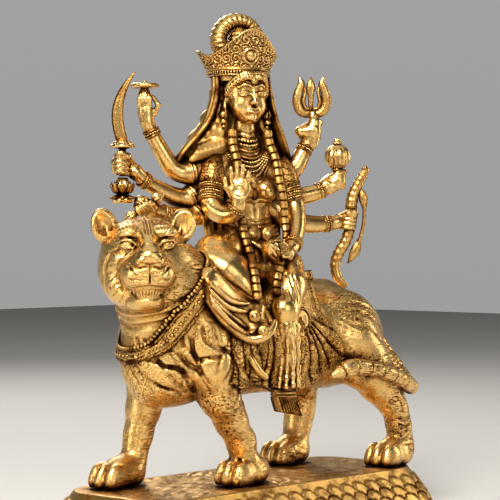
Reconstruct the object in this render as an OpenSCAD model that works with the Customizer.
// Cast brass statue: an eight-armed goddess seated sideways on a striding lion,
// on a hollow plinth with a scalloped skirt. Millimetres, +Z up, the lion faces -X,
// and the origin is the middle of the plinth's underside.

/* [Plinth] */
// Full length of the plinth at its underside
base_length = 442; // [400:1:480]
// Full width of the plinth at its underside
base_width = 190; // [170:1:210]
// Height of the plinth
base_height = 50; // [35:1:70]
// How far the skirt flares on each side
base_flare = 23; // [8:1:30]
// Wall of the hollow plinth casting
base_wall = 5; // [3:0.5:8]
// Radius of the bolts that hold the four paws
bolt_radius = 3; // [2:0.25:4]

/* [Lion] */
// Half width of the lion's chest
chest_half = 50; // [42:1:56]
// Half width of the lion's haunches
haunch_half = 52; // [44:1:58]
// Width of the lion's head across the cheeks
head_width = 88; // [78:1:96]

/* [Goddess] */
// Angle the seated figure is turned from square to the lion, in degrees
turn = 26; // [20:1:32]
// Height of the seat above the plinth
seat_height = 206; // [200:1:212]
// Half width of the crown's front plate
crown_half = 31; // [26:1:34]

/* [Attributes] */
// Radius of the spinning discus
chakra_radius = 14; // [11:0.5:16]
// Radius of the finger that carries the discus
finger_radius = 2.2; // [1.8:0.1:3]
// Radius of the sword's tang
tang_radius = 3.5; // [3:0.1:4]
// Radius of the trident's shaft
trident_shaft = 2.6; // [2.2:0.1:3]
// Radius of the mace's shaft
mace_shaft = 3; // [2.5:0.1:3.5]
// Radial running clearance of every loose shaft in its hand
running_gap = 0.05; // [0.02:0.01:0.09]

/* [Hidden] */
top = base_height;
L = [cos(turn), -sin(turn), 0];   // the figure's own left
F = [-sin(turn), -cos(turn), 0];  // the way the figure faces
Z = [0, 0, 1];
seat = top + seat_height;

function unit(v) = v / norm(v);
function spow(c, e) = sign(c) * pow(abs(c), e);
function g(l, f, z) = [8, 2, 0] + l * L + f * F + [0, 0, z];
function heading(p, i) =
    unit(p[min(i + 1, len(p) - 1)][0] - p[max(i - 1, 0)][0]);
function hoop(c, t, up, a, b, n, e) =
    let (s = unit(cross(t, up)), w = cross(s, t))
    [for (k = [0:n - 1])
        c + s * a * spow(cos(360 * k / n), e) + w * b * spow(sin(360 * k / n), e)];

// A closed skin over rings of n points, with a point at each end.
module skin(rings, n, first, last) {
    m = len(rings);
    pts = concat([for (r = rings) each r], [first, last]);
    sides = [for (i = [0:m - 2], k = [0:n - 1])
        let (j = (k + 1) % n, a = i * n, b = (i + 1) * n)
        each [[a + k, a + j, b + k], [a + j, b + j, b + k]]];
    caps = [for (k = [0:n - 1]) let (j = (k + 1) % n)
        each [[m * n, j, k], [m * n + 1, (m - 1) * n + k, (m - 1) * n + j]]];
    polyhedron(pts, concat(sides, caps), convexity = 8);
}

// A limb: stations [centre, half across, half along up], rounded at both ends.
module limb(p, n = 12, up = Z, e = 1, round0 = 0.6, round1 = 0.6) {
    m = len(p);
    t0 = heading(p, 0);
    t1 = heading(p, m - 1);
    r0 = min(p[0][1], p[0][2]) * round0;
    r1 = min(p[m - 1][1], p[m - 1][2]) * round1;
    rings = concat(
        [hoop(p[0][0] - t0 * r0 * 0.7, t0, up, p[0][1] * 0.7, p[0][2] * 0.7, n, e)],
        [for (i = [0:m - 1]) hoop(p[i][0], heading(p, i), up, p[i][1], p[i][2], n, e)],
        [hoop(p[m - 1][0] + t1 * r1 * 0.7, t1, up, p[m - 1][1] * 0.7,
              p[m - 1][2] * 0.7, n, e)]);
    skin(rings, n, p[0][0] - t0 * r0, p[m - 1][0] + t1 * r1);
}

// A thick sheet between two grids of points, A outside and B inside.
module sheet(A, B) {
    r = len(A);
    c = len(A[0]);
    q = r * c;
    pts = concat([for (row = A) each row], [for (row = B) each row]);
    function id(i, j) = i * c + j;
    front = [for (i = [0:r - 2], j = [0:c - 2]) each
        [[id(i, j), id(i, j + 1), id(i + 1, j)],
         [id(i, j + 1), id(i + 1, j + 1), id(i + 1, j)]]];
    back = [for (f = front) [f[2] + q, f[1] + q, f[0] + q]];
    loop = concat([for (j = [0:c - 1]) id(0, j)],
                  [for (i = [1:r - 1]) id(i, c - 1)],
                  [for (j = [c - 2:-1:0]) id(r - 1, j)],
                  [for (i = [r - 2:-1:1]) id(i, 0)]);
    edge = [for (k = [0:len(loop) - 1])
        let (a = loop[k], b = loop[(k + 1) % len(loop)])
        each [[a, a + q, b], [b, a + q, b + q]]];
    polyhedron(pts, concat(front, back, edge), convexity = 8);
}

module rod(a, b, r1, r2) {
    d = b - a;
    translate(a)
        rotate([0, acos(d[2] / norm(d)), atan2(d[1], d[0])])
            cylinder(h = norm(d), r1 = r1, r2 = r2, $fn = 24);
}

// ---------------------------------------------------------------- plinth
function outline(hl, hw, r, z, n) = [for (k = [0:n - 1])
    let (a = 360 * (k + 0.5) / n, c = cos(a), s = sin(a))
    [sign(c) * (hl - r) + r * spow(c, 0.8), sign(s) * (hw - r) + r * spow(s, 0.8), z]];

module base_plinth() {
    n = 56;
    hl = base_length / 2;
    hw = base_width / 2;
    rings = [for (s = [[0, 0], [0.1, 10], [0.35, 24], [0.72, 38], [0.92, 46], [1.08, top]])
        outline(hl - base_flare * s[0], hw - base_flare * s[0],
                62 - base_flare * s[0] * 0.6, s[1], n)];
    inner = [for (s = [[0, 0], [0.35, 20], [0.8, top - base_wall - 3], [1, top - base_wall]])
        outline(hl - base_wall - base_flare * s[0], hw - base_wall - base_flare * s[0],
                56 - base_flare * s[0] * 0.6, s[1], n)];
    all_rings = concat([for (i = [len(rings) - 1:-1:0]) rings[i]], inner);
    color([0.78, 0.60, 0.25])
    difference() {
        union() {
            skin(all_rings, n, [0, 0, top], [0, 0, top - base_wall]);
            for (p = paws)
                translate([p[0], p[1], top - base_wall - 5])
                    cylinder(h = 6, r = 9, $fn = 32);
        }
        for (p = paws)
            translate([p[0], p[1], top - 20])
                cylinder(h = 40, r = bolt_radius + 0.2, $fn = 32);
    }
}

// Where the four bolts come up: left front, right front, left hind, right hind.
paws = [[-47, -36], [-141, 41], [172, -46], [108, 44]];

module paw_bolts() {
    color([0.62, 0.48, 0.2])
    for (p = paws) translate([p[0], p[1], 0]) {
        translate([0, 0, top - base_wall - 9.5])
            cylinder(h = 4.5, r = 6.5, $fn = 6);
        translate([0, 0, top - base_wall - 6])
            cylinder(h = base_wall + 20, r = bolt_radius, $fn = 32);
    }
}

// ---------------------------------------------------------------- lion
// A paw: toes toward -X, flat on the plinth, with a blind hole for its bolt.
module paw(x0, x1, y, tilt = 0) {
    w = 20;
    c = [(x0 + x1) / 2, y, top];
    len_ = x1 - x0;
    rings = [for (s = [[0, 0.94, 0.96], [0.16, 1, 1], [0.5, 0.97, 0.97], [0.78, 0.78, 0.82],
                       [0.94, 0.5, 0.6]])
        [for (k = [0:15]) let (a = 360 * k / 16)
            c + [cos(a) * len_ / 2 * s[1] + 5 * s[0], sin(a) * w * s[2], s[0] * 34]]];
    skin([for (i = [4:-1:0]) rings[i]], 16,
        c + [5, 0, 34], c);
}

module leg(path, x0, x1, y, bolt) {
    difference() {
        union() {
            limb(path, n = 14, up = [-1, 0, 0]);
            paw(x0, x1, y);
        }
        translate([bolt[0], bolt[1], top - 1])
            cylinder(h = 17.5, r = bolt_radius + 0.1, $fn = 32);
    }
}

module lion_foreleg_left_form() {
    color([0.8, 0.62, 0.26])
    leg([[[-104, -26, 214], 19, 30], [[-103, -36, 190], 22, 33], [[-96, -40, 160], 20, 27],
         [[-84, -40, 134], 16.5, 21], [[-64, -37, 112], 14.5, 17], [[-50, -35, 92], 14, 16],
         [[-43, -35, 72], 15.5, 17]], -80, -16, -36, paws[0]);
}

module lion_foreleg_right_form() {
    color([0.8, 0.62, 0.26])
    leg([[[-98, 22, 212], 18, 28], [[-101, 32, 186], 21, 31], [[-105, 38, 156], 20, 26],
         [[-109, 40, 128], 17, 21], [[-115, 41, 102], 15, 17], [[-121, 41, 82], 14, 16],
         [[-128, 41, 70], 15.5, 17]], -172, -110, 41, paws[1]);
}

module lion_hindleg_left_form() {
    color([0.8, 0.62, 0.26])
    leg([[[130, -24, 206], 20, 34], [[125, -34, 182], 23, 42], [[134, -40, 158], 22, 37],
         [[156, -45, 134], 18, 25], [[175, -48, 112], 14, 17], [[186, -47, 95], 13, 15],
         [[188, -46, 82], 13, 14], [[184, -46, 70], 14, 15]], 141, 201, -46, paws[2]);
}

module lion_hindleg_right_form() {
    color([0.8, 0.62, 0.26])
    leg([[[126, 22, 204], 20, 34], [[120, 32, 180], 23, 40], [[121, 39, 156], 22, 34],
         [[127, 43, 132], 18, 24], [[129, 45, 112], 14, 17], [[127, 45, 96], 13, 15],
         [[123, 44, 82], 13, 14], [[120, 44, 70], 14, 15]], 78, 139, 44, paws[3]);
}

module lion_body_form() {
    ch = chest_half;
    hh = haunch_half;
    color([0.8, 0.62, 0.26])
    difference() {
        union() {
            limb([[[-146, -3, 192], ch * 0.56, 36], [[-130, -3, 190], ch * 0.84, 52],
                  [[-100, -2, 190], ch, 57], [[-62, 0, 189], ch * 0.96, 57],
                  [[-20, 0, 186], ch * 0.88, 54], [[30, 0, 184], ch * 0.87, 53],
                  [[80, 0, 184], hh * 0.9, 54], [[116, 0, 184], hh, 53],
                  [[146, 0, 181], hh * 0.9, 47], [[168, 0, 178], hh * 0.6, 34]],
                 n = 20, up = Z, e = 0.92);
            limb([[[-96, 0, 196], 40, 40], [[-118, -4, 222], 42, 44],
                  [[-138, -8, 246], 39, 40]], n = 16, up = [0, 1, 0], round1 = 0.4);
        }
        translate([8, 2, seat - 34]) cylinder(h = 60, r = 9.1, $fn = 40);
    }
}

D = unit([-0.74, -0.66, -0.03]);   // the way the lion's face points
E = unit(cross(D, Z));             // across the face
U = cross(E, D);
hc = [-152, -10, 264];
function h(e, d, u) = hc + e * E + d * D + u * U;

module lion_head_form() {
    w = head_width / 2;
    color([0.82, 0.64, 0.27])
    union() {
        limb([[h(0, -30, 0), w * 0.72, 30], [h(0, -14, 0), w * 0.94, 40],
              [h(0, 4, -2), w, 43], [h(0, 18, -4), w * 0.9, 38],
              [h(0, 29, -6), w * 0.66, 29]], n = 18, up = Z);
        limb([[h(0, 16, -13), 30, 26], [h(0, 32, -14), 28, 23],
              [h(0, 42, -14), 23, 19]], n = 16, up = Z, e = 0.85);
        limb([[h(0, 26, 12), 11, 12], [h(0, 38, 4), 10, 9], [h(0, 47, -3), 10, 6]],
             n = 10, up = Z);
        limb([[h(0, 22, -34), 17, 9], [h(0, 37, -34), 13, 7]], n = 10, up = Z);
        for (s = [-1, 1])
            sheet([for (v = [-1:0.5:1]) [for (q = [-1:0.5:1])
                    h(s * (33 + 14 * (s * q)) , -2 - 5 * (1 - q * q) , 36 + 17 * v * 0.55
                      + 14 * (1 - q * q) * (v + 1) / 2 )]],
                  [for (v = [-1:0.5:1]) [for (q = [-1:0.5:1])
                    h(s * (33 + 14 * (s * q)), -11 - 5 * (1 - q * q), 36 + 17 * v * 0.55
                      + 14 * (1 - q * q) * (v + 1) / 2 )]]);
    }
}

module lion_collar_form() {
    a = [-122, -5, 228];
    t = unit([-20, -5, 22]);
    color([0.72, 0.54, 0.2])
    translate(a)
        rotate([0, acos(t[2]), atan2(t[1], t[0])])
            difference() {
                cylinder(h = 9, r = 45.5, center = true, $fn = 64);
                cylinder(h = 12, r = 41, center = true, $fn = 64);
            }
}

module lion_tail_form() {
    color([0.8, 0.62, 0.26])
    limb([[[162, -3, 196], 9, 9], [[180, -9, 190], 9, 9], [[192, -16, 174], 8.5, 8.5],
          [[200, -28, 150], 8.5, 8.5], [[202, -42, 137], 8.5, 8.5],
          [[190, -53, 134], 8.5, 8.5], [[160, -63, 139], 8.5, 8.5],
          [[130, -67, 147], 8.5, 8.5], [[104, -67, 153], 9, 9],
          [[82, -63, 156], 9, 9], [[58, -59, 149], 6, 6]],
         n = 10, up = unit([0.2, 0.1, 1]));
}

module saddle_cloth_form() {
    rows = [[252, 34], [244, 43], [230, 50], [206, 55], [180, 56.5], [156, 55], [136, 51]];
    function cloth(t) = [for (r = rows) [for (j = [0:6])
        [12 + 70 * j / 6 - (252 - r[0]) * 0.05, -(r[1] + t + 1.6 * cos(j * 180)),
         r[0] - 3 * sin(180 * j / 6)]]];
    color([0.74, 0.56, 0.22])
    sheet(cloth(3), cloth(-3));
}

module saddle_medallion() {
    color([0.84, 0.66, 0.3])
    translate([26, -58, 208]) rotate([90, 0, 0]) {
        cylinder(h = 4, r = 13, $fn = 40);
        translate([0, 0, 3.5]) cylinder(h = 3, r = 7, $fn = 32);
    }
}

// ---------------------------------------------------------------- goddess
module seat_spigot() {
    color([0.62, 0.48, 0.2])
    translate([8, 2, seat - 33.5]) cylinder(h = 50, r = 9, $fn = 40);
}

module goddess_torso_form() {
    color([0.82, 0.64, 0.28])
    difference() {
        limb([[g(0, 0, seat - 8), 36, 30], [g(0, 0, seat + 12), 36, 29],
              [g(0, 0, seat + 32), 28, 21], [g(0, 0, seat + 48), 23, 17],
              [g(0, 1, seat + 66), 28, 20], [g(-1, 1, seat + 86), 31, 22],
              [g(-2, 0, seat + 102), 33, 17], [g(-3, 0, seat + 112), 22, 14],
              [g(-5, 0, seat + 120), 12, 12], [g(-8, 1, seat + 144), 11, 11]],
             n = 20, up = F, round0 = 0.15, round1 = 0.3);
        translate([8, 2, seat - 20]) cylinder(h = 37, r = 9.1, $fn = 40);
    }
}

module goddess_head_form() {
    z = seat + 174;
    color([0.85, 0.68, 0.31])
    union() {
        limb([[g(-9, 8, z - 27), 8, 8], [g(-9, 7, z - 20), 15, 15],
              [g(-9, 5, z - 8), 19.5, 20], [g(-9, 4, z + 6), 21, 22],
              [g(-9, 3, z + 20), 20, 21], [g(-9, 2, z + 31), 13, 14]],
             n = 18, up = F);
        limb([[g(-9, 25, z + 8), 2.2, 2], [g(-9, 27.5, z - 1), 3.2, 3],
              [g(-9, 27, z - 6), 3.4, 2]], n = 8, up = F);
        for (s = [-1, 1])
            limb([[g(-9 + s * 21, 3, z + 7), 3, 5], [g(-9 + s * 21, 3, z - 8), 3, 4]],
                 n = 8, up = F);
    }
}

module earrings() {
    z = seat + 174;
    color([0.86, 0.68, 0.3])
    for (s = [-1, 1])
        limb([[g(-9 + s * 23.5, 5, z - 12), 4.5, 4.5], [g(-9 + s * 24, 5, z - 17), 6, 6],
              [g(-9 + s * 24, 5, z - 23), 3.5, 3.5]], n = 10, up = F);
}

module crown_cap_form() {
    z = seat + 190;
    color([0.8, 0.62, 0.26])
    limb([[g(-9, 2, z), 23, 25], [g(-9, 1, z + 12), 24, 25], [g(-9, 0, z + 28), 24, 23],
          [g(-9, -2, z + 42), 20, 19], [g(-9, -3, z + 53), 13, 12]],
         n = 18, up = F, round0 = 0.1);
}

module crown_plate() {
    z = seat + 192;
    function plate(t) = [for (i = [0:4]) [for (j = [0:10])
        let (a = -80 + 16 * j, v = i / 4, r = 26 + 6 * v + t,
             hgt = 20 + 28 * pow(cos(a), 2) * 1)
        g(-9 + r * sin(a) * crown_half / 31, 2 + r * cos(a), z - 4 + v * hgt)]];
    color([0.86, 0.68, 0.3])
    sheet(plate(1.6), plate(-1.6));
}

module crown_arch() {
    z = seat + 200;
    pts = [for (i = [0:8]) let (a = -100 + 25 * i)
        [g(-9 + 25 * sin(a), -11, z + 30 + 24 * cos(a)), 6, 9]];
    color([0.78, 0.6, 0.25])
    limb(pts, n = 10, up = F);
}

module veil_form() {
    rows = [[seat + 226, 22, 10], [seat + 205, 30, 14], [seat + 180, 34, 16],
            [seat + 155, 42, 20], [seat + 125, 52, 24], [seat + 95, 54, 25],
            [seat + 60, 46, 24], [seat + 30, 40, 24], [seat + 4, 40, 27]];
    function drape(t) = [for (r = rows) [for (j = [0:12])
        let (a = -90 + 15 * j)
        g(-8 * (r[0] - seat) / 200 + (r[1] + t) * sin(a), 2 - (r[2] + t) * pow(cos(a), 0.7), r[0])]];
    color([0.76, 0.58, 0.24])
    sheet(drape(-2.4), drape(2.4));
}

module necklaces() {
    color([0.86, 0.68, 0.3])
    union() {
        limb([for (i = [0:10]) let (a = -75 + 15 * i)
            [g(-5 + 17 * sin(a), 3 + 15 * cos(a), seat + 114 - 9 * pow(cos(a), 2)), 2.5, 2.5]],
            n = 8, up = Z);
        limb([for (i = [0:10]) let (a = -75 + 15 * i)
            [g(-4 + 24 * sin(a), 6 + 18 * cos(a), seat + 110 - 32 * pow(cos(a), 2)), 2.5, 2.5]],
            n = 8, up = Z);
    }
}

module garlands() {
    color([0.84, 0.66, 0.29])
    for (s = [-1, 1])
        limb([[g(s * 19 - 4, 12, seat + 112), 5, 4], [g(s * 20 - 3, 22, seat + 98), 5, 4],
              [g(s * 21 - 2, 25, seat + 78), 5, 4], [g(s * 21, 26, seat + 52), 5, 4],
              [g(s * 21, 31, seat + 26), 5, 4], [g(s * 20, 38, seat + 6), 5, 4],
              [g(s * 16, 50, seat - 14), 5.5, 4.5]],
             n = 8, up = F);
}

module waist_belt() {
    color([0.86, 0.68, 0.3])
    union() {
        limb([for (i = [0:12]) let (a = -90 + 15 * i)
            [g(28 * sin(a), 24 * cos(a), seat + 37 - 3 * cos(a)), 3.5, 6]],
            n = 8, up = Z);
        for (s = [-1, 1])
            limb([[g(s * 9, 21, seat + 34), 8, 8], [g(s * 9, 27, seat + 34), 7, 7]],
                 n = 12, up = Z, round1 = 0.3);
    }
}

module right_leg_form() {
    color([0.82, 0.64, 0.28])
    difference() {
    union() {
        limb([[g(-12, 4, seat + 8), 24, 24], [[-34, 2, seat + 14], 24, 24],
              [[-60, -8, seat + 16], 20, 22], [[-76, -16, seat + 10], 16, 19],
              [[-76, -28, seat - 8], 15, 18], [[-62, -38, seat - 26], 13.5, 15],
              [[-46, -46, seat - 42], 11, 11], [[-36, -50, seat - 52], 9, 8]],
             n = 14, up = unit([0.3, 0.5, 1]));
        limb([[[-36, -51, seat - 50], 10, 8], [[-24, -58, seat - 60], 10, 7],
              [[-12, -62, seat - 66], 8, 5]], n = 10, up = Z);
    }
    translate([8, 2, seat - 40]) cylinder(h = 60, r = 9.2, $fn = 40);
    }
}

module left_leg_form() {
    color([0.82, 0.64, 0.28])
    difference() {
    union() {
        limb([[g(14, 4, seat + 6), 24, 22], [[18, -26, seat + 4], 25, 23],
              [[14, -46, seat - 12], 23, 22], [[4, -54, seat - 36], 19, 18],
              [[-8, -58, seat - 60], 14, 14], [[-20, -60, seat - 80], 11, 11],
              [[-26, -60, seat - 90], 9, 9]],
             n = 14, up = unit([1, 0.6, 0]));
        limb([[[-25, -61, seat - 88], 9, 9], [[-35, -65, seat - 97], 9, 7],
              [[-47, -68, seat - 103], 8, 5]], n = 10, up = Z);
    }
    translate([8, 2, seat - 40]) cylinder(h = 60, r = 9.2, $fn = 40);
    }
}

module skirt_pleats_form() {
    rows = [[seat - 2, 46, 0], [seat - 22, 54, 3], [seat - 44, 57, 6], [seat - 66, 57, 9],
            [seat - 90, 55, 12], [seat - 112, 52, 15]];
    function drape(t) = [for (r = rows) [for (j = [0:12])
        [-88 + r[2] * 0.8 + 92 * j / 12, -(r[1] + t + 2.2 * cos(j * 180) - 5 * pow(j / 6 - 1, 2)),
         r[0] + 10 * pow(j / 12, 2) - (j % 2) * 2]]];
    color([0.77, 0.59, 0.24])
    sheet(drape(3), drape(-3));
}

module hem_tassel_form() {
    color([0.8, 0.62, 0.27])
    limb([[[2, -54, seat - 102], 13, 6], [[4, -55, seat - 118], 16, 7],
          [[6, -55, seat - 136], 18, 8]], n = 12, up = [0, 1, 0], round1 = 0.2);
}

// ---------------------------------------------------------------- arms
module bangle(c, t, r) {
    translate(c)
        rotate([0, acos(t[2]), atan2(t[1], t[0])])
            cylinder(h = 5, r = r, center = true, $fn = 24);
}

module arm(p, n = 10, up = F) {
    color([0.83, 0.65, 0.29]) limb(p, n = n, up = up);
}

function q(v, z) = [v[0], v[1], top + z];

module arm_blessing_form() {
    color([0.83, 0.65, 0.29])
    union() {
        limb([[[-27, 20, 364], 12, 12], [[-33, 18, 348], 11.5, 12], [[-39, 16, 330], 10, 10],
              [[-42, 10, 318], 9, 9.5], [[-41, -4, 313], 8, 8.5], [[-40, -18, 312], 7, 7],
              [[-39, -23, 320], 7, 6], [[-39, -25, 330], 9.5, 4.5],
              [[-39, -26, 340], 9, 4]], n = 10, up = unit([-0.75, -0.66, 0.3]));
        for (i = [0:3])
            limb([[[-45, -21, 338] + i * [3.1, -3.4, 0], 2.2, 2.2],
                  [[-45.6, -22, 352 - abs(i - 1.4) * 2] + i * [3.3, -3.6, 0], 1.8, 1.8]],
                 n = 8, up = F);
        limb([[[-33, -30, 328], 2.6, 2.6], [[-29, -35, 338], 2.1, 2.1]], n = 8, up = F);
    }
}

module arm_lap_form() {
    color([0.83, 0.65, 0.29])
    union() {
        limb([[[33, -8, 364], 12, 12], [[38, -12, 350], 11.5, 12], [[41, -17, 332], 10, 10],
              [[40, -24, 316], 9.5, 9.5], [[32, -33, 300], 8.5, 8.5], [[20, -42, 284], 7.5, 7.5],
              [[10, -47, 276], 8, 7], [[0, -50, 272], 9, 6]], n = 10, up = F);
        for (i = [0:3])
            limb([[[-3, -46, 275] + i * [0, -3, -2.4], 2.4, 2.4],
                  [[-14, -49, 276] + i * [0.6, -2.8, -2.2], 2.1, 2.1]], n = 8, up = Z);
    }
}

module arm_chakra_form() {
    color([0.83, 0.65, 0.29])
    union() {
        limb([[[-14, 26, 358], 12, 11], [[-30, 30, 356], 10.5, 10.5], [[-48, 38, 353], 9.5, 9.5],
              [[-61, 44, 354], 9, 9], [[-70, 48, 366], 8, 8], [[-79, 52, 382], 7, 7],
              [[-86, 55, 398], 6.3, 6.3], [[-89, 56, 408], 8, 7.5],
              [[-91, 56, 416], 7, 7]], n = 12, up = F);
        translate([-91, 56, 412]) cylinder(h = 23, r = 3.6, $fn = 32);
        translate([-91, 56, 412]) cylinder(h = 31, r = finger_radius, $fn = 32);
    }
}

module chakra() {
    color([0.86, 0.68, 0.3])
    translate([-91, 56, 435.4])
        difference() {
            union() {
                cylinder(h = 4.6, r = chakra_radius, $fn = 48);
                translate([0, 0, 0]) cylinder(h = 5.6, r = 6, $fn = 36);
            }
            translate([0, 0, -1])
                cylinder(h = 8, r = finger_radius + running_gap, $fn = 32);
        }
}

sword_xy = [-121.5, 56, 0];

module arm_sword_form() {
    color([0.83, 0.65, 0.29])
    difference() {
        union() {
            limb([[[-12, 28, 346], 12, 12], [[-30, 34, 334], 10.5, 10.5],
                  [[-49, 39, 327], 9, 9], [[-70, 45, 332], 8, 8], [[-93, 50, 343], 6.8, 6.8],
                  [[-103, 52, 350], 7.5, 8], [[-112, 54, 356], 10, 11],
                  [[-122, 56, 358], 10.5, 11.5], [[-128, 57, 358], 8, 9]],
                 n = 12, up = F);
        }
        translate(sword_xy + [0, 0, 340])
            cylinder(h = 50, r = tang_radius + running_gap, $fn = 36);
    }
}

function blade(i) = let (t = i / 8, w = 5.4 * (1 - 0.75 * pow(t, 3)))
    [sword_xy + [0, 0, 381] + (-8 * sin(180 * t * 0.85) + 15 * pow(t, 2.2)) *
     [0.669, -0.743, 0] + [0, 0, 68 * t], w, 1.7 * (1 - 0.4 * t)];

module sword() {
    color([0.88, 0.7, 0.32])
    union() {
        limb([for (i = [0:8]) blade(i)], n = 8, up = [0.743, 0.669, 0.05], round0 = 0.2);
        translate(sword_xy + [0, 0, 375.5]) cylinder(h = 4, r = 12, $fn = 40);
        translate(sword_xy + [0, 0, 379]) cylinder(h = 4, r1 = 8, r2 = 5, $fn = 32);
        translate(sword_xy + [0, 0, 348]) cylinder(h = 29, r = tang_radius, $fn = 36);
    }
}

module sword_pommel() {
    color([0.84, 0.66, 0.3])
    translate(sword_xy) {
        translate([0, 0, 322]) cylinder(h = 5, r = 9, $fn = 36);
        translate([0, 0, 326]) cylinder(h = 7, r1 = 4, r2 = 3, $fn = 32);
        translate([0, 0, 332]) cylinder(h = 7, r1 = 4, r2 = 10, $fn = 32);
        translate([0, 0, 338]) cylinder(h = 9.4, r1 = 9, r2 = 4, $fn = 32);
    }
}

module arm_vajra_form() {
    color([0.83, 0.65, 0.29])
    limb([[[-10, 28, 330], 12, 12], [[-30, 32, 316], 10.5, 10.5], [[-49, 33, 309], 9, 9],
          [[-70, 35, 310], 8, 8], [[-90, 38, 313], 6.8, 6.8], [[-98, 41, 316], 8, 8.5],
          [[-106, 44, 319], 8.5, 9], [[-111, 45, 319], 6, 7]], n = 12, up = F);
}

module vajra() {
    c = [-105, 43, 318];
    d = unit([0.4, -0.6, 0.5]);
    color([0.86, 0.68, 0.3])
    limb([[c - 24 * d, 2, 2], [c - 17 * d, 6, 6], [c - 9 * d, 3.2, 3.2], [c, 3, 3],
          [c + 9 * d, 3.2, 3.2], [c + 17 * d, 6, 6], [c + 24 * d, 2, 2]], n = 10, up = Z);
}

trident_xy = [69, -25, 0];

module arm_trident_form() {
    color([0.83, 0.65, 0.29])
    difference() {
        limb([[[18, 0, 358], 12, 11], [[34, -6, 354], 10.5, 10.5], [[46, -13, 352], 9, 9],
              [[54, -17, 366], 8, 8], [[61, -21, 380], 7, 7], [[66, -23.5, 390], 7.5, 8],
              [[69, -25, 399], 9.5, 9.5], [[70, -26, 405], 7, 7]], n = 12, up = [-0.44, -0.9, 0.1]);
        translate(trident_xy + [0, 0, 380])
            cylinder(h = 60, r = trident_shaft + running_gap, $fn = 36);
    }
}

module trident() {
    A = [0.743, -0.669, 0] * 0.9;
    function p(a, z) = trident_xy + [a * 0.669, a * -0.743, z];
    up = [0.743, 0.669, 0.02];
    color([0.88, 0.7, 0.32])
    union() {
        translate(trident_xy + [0, 0, 384]) cylinder(h = 30, r = trident_shaft, $fn = 36);
        translate(trident_xy + [0, 0, 410.5]) cylinder(h = 4, r = 6, $fn = 32);
        limb([[p(-2, 415), 3, 2.5], [p(-2, 430), 3, 2.5], [p(-2, 444), 5, 2.5],
              [p(-2, 452), 2.4, 1.6]], n = 8, up = up);
        for (s = [-1, 1])
            limb([[p(0, 415), 3, 2.6], [p(s * 8 - 1, 416), 3.2, 2.6],
                  [p(s * 13.5 - 1, 423), 3.4, 2.6], [p(s * 13.5 - 1, 434), 4, 2.6],
                  [p(s * 11 - 1, 446), 3.2, 2.2], [p(s * 12.5 - 1, 452), 1.6, 1.4]],
                 n = 8, up = up);
    }
}

mace_xy = [94, -37, 0];

module arm_mace_form() {
    color([0.83, 0.65, 0.29])
    difference() {
        limb([[[18, -2, 340], 12, 12], [[36, -9, 332], 10.5, 10.5], [[55, -16, 329], 9, 9],
              [[72, -25, 334], 7.8, 7.8], [[84, -32, 340], 7, 7], [[91, -35, 345], 9, 9],
              [[98, -39, 346], 8, 9]], n = 12, up = F);
        translate(mace_xy + [0, 0, 320])
            cylinder(h = 60, r = mace_shaft + running_gap, $fn = 36);
    }
}

module mace() {
    color([0.86, 0.68, 0.31])
    translate(mace_xy) union() {
        translate([0, 0, 338]) cylinder(h = 20, r = mace_shaft, $fn = 36);
        translate([0, 0, 356.6]) cylinder(h = 3, r = 6, $fn = 32);
        translate([0, 0, 371]) sphere(r = 13, $fn = 40);
        translate([0, 0, 383]) cylinder(h = 3, r = 4.5, $fn = 32);
        translate([0, 0, 385]) cylinder(h = 5, r1 = 3, r2 = 1, $fn = 32);
    }
}

module arm_bow_form() {
    color([0.83, 0.65, 0.29])
    limb([[[20, -2, 322], 12, 12], [[36, -10, 312], 10.5, 10.5], [[50, -18, 305], 9, 9],
          [[70, -26, 302], 8, 8], [[88, -34, 303], 7, 7], [[97, -38, 304], 8.5, 9],
          [[106, -41, 304], 8.5, 9.5], [[112, -43, 304], 6, 7]], n = 12, up = Z);
}

module bow() {
    function p(a, z) = [104 + a * 0.669, -42 + a * -0.743, z];
    color([0.88, 0.7, 0.32])
    limb([[p(13, 362), 2, 2], [p(18, 356), 2.6, 2.6], [p(14, 346), 3.2, 3],
          [p(6, 334), 4, 3.5], [p(4, 320), 4.4, 4], [p(6, 306), 4.4, 4],
          [p(4, 292), 4.4, 4], [p(-6, 276), 4, 3.6], [p(-12, 260), 3.6, 3.2],
          [p(-10, 246), 3, 2.8], [p(-2, 238), 2.2, 2.2]],
         n = 10, up = [0.743, 0.669, 0.03]);
}

module arrow() {
    function p(a, z) = [106 + a * 0.669, -46 + a * -0.743, z];
    color([0.88, 0.7, 0.32])
    limb([[p(14, 340), 1.6, 1.6], [p(17, 330), 5, 2.2], [p(18, 318), 2.2, 2],
          [p(17, 300), 2.2, 2], [p(13, 282), 2.2, 2], [p(7, 266), 5, 2.2],
          [p(0, 254), 1.6, 1.6]], n = 8, up = [0.743, 0.669, 0.03]);
}

module lotus_bud() {
    c = [-26, -52, seat + 20];
    color([0.86, 0.68, 0.31])
    limb([[c + [8, 2, -8], 3, 3], [c + [3, 1, -3], 7, 7], [c, 9.5, 9.5],
          [c + [-5, -1, 5], 7, 7], [c + [-9, -2, 9], 2.5, 2.5]], n = 12, up = [0, 1, 0.3]);
}

// ---------------------------------------------------------------- seams
// Each casting is cut back where its neighbour passes, so they meet face to face.
module goddess_torso() goddess_torso_form();
module lion_body() lion_body_form();

module lion_head() difference() {
    lion_head_form();
    lion_body_form();
}

module lion_collar() difference() {
    lion_collar_form();
    lion_body_form();
}

module lion_foreleg_left() difference() {
    lion_foreleg_left_form();
    lion_body_form();
}

module lion_foreleg_right() difference() {
    lion_foreleg_right_form();
    lion_body_form();
}

module lion_hindleg_left() difference() {
    lion_hindleg_left_form();
    lion_body_form();
}

module lion_hindleg_right() difference() {
    lion_hindleg_right_form();
    lion_body_form();
}

module lion_tail() difference() {
    lion_tail_form();
    lion_body_form();
    lion_hindleg_left_form();
}

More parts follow.
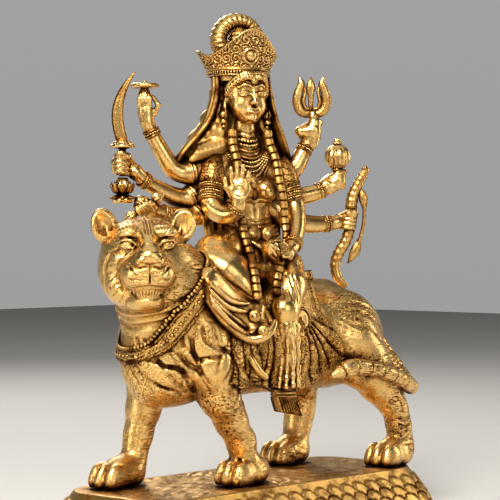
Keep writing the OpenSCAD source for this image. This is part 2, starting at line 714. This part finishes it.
module goddess_head() difference() {
    goddess_head_form();
    goddess_torso_form();
}

module crown_cap() difference() {
    crown_cap_form();
    goddess_head_form();
}

module right_leg() difference() {
    right_leg_form();
    goddess_torso_form();
    lion_body_form();
    lion_foreleg_left_form();
    lion_collar_form();
}

module left_leg() difference() {
    left_leg_form();
    goddess_torso_form();
    lion_body_form();
    right_leg_form();
}

module skirt_pleats() difference() {
    skirt_pleats_form();
    left_leg_form();
    right_leg_form();
    lion_foreleg_left_form();
    lion_body_form();
}

module saddle_cloth() difference() {
    saddle_cloth_form();
    left_leg_form();
    skirt_pleats_form();
    lion_tail_form();
}

module hem_tassel() difference() {
    hem_tassel_form();
    saddle_cloth_form();
    skirt_pleats_form();
}

module arm_blessing() difference() {
    arm_blessing_form();
    goddess_torso_form();
}

module arm_lap() difference() {
    arm_lap_form();
    goddess_torso_form();
    left_leg_form();
}

module arm_chakra() difference() {
    arm_chakra_form();
    goddess_torso_form();
    arm_blessing_form();
}

module arm_sword() difference() {
    arm_sword_form();
    goddess_torso_form();
    arm_blessing_form();
    arm_chakra_form();
}

module arm_vajra() difference() {
    arm_vajra_form();
    goddess_torso_form();
    arm_sword_form();
}

module arm_trident() difference() {
    arm_trident_form();
    goddess_torso_form();
    arm_lap_form();
}

module arm_mace() difference() {
    arm_mace_form();
    goddess_torso_form();
    arm_lap_form();
    arm_trident_form();
}

module arm_bow() difference() {
    arm_bow_form();
    goddess_torso_form();
    arm_lap_form();
    arm_mace_form();
}

module veil() difference() {
    veil_form();
    goddess_torso_form();
    goddess_head_form();
    crown_cap_form();
    right_leg_form();
    arm_blessing_form();
    arm_lap_form();
    arm_chakra_form();
    arm_sword_form();
    arm_vajra_form();
    arm_trident_form();
    arm_mace_form();
    arm_bow_form();
}

base_plinth();
paw_bolts();
lion_body();
lion_head();
lion_collar();
lion_foreleg_left();
lion_foreleg_right();
lion_hindleg_left();
lion_hindleg_right();
lion_tail();
saddle_cloth();
saddle_medallion();
seat_spigot();
goddess_torso();
goddess_head();
crown_cap();
crown_plate();
crown_arch();
veil();
earrings();
necklaces();
garlands();
waist_belt();
right_leg();
left_leg();
skirt_pleats();
hem_tassel();
arm_blessing();
arm_lap();
arm_chakra();
arm_sword();
arm_vajra();
arm_trident();
arm_mace();
arm_bow();
lotus_bud();
chakra();
sword();
sword_pommel();
vajra();
trident();
mace();
bow();
arrow();
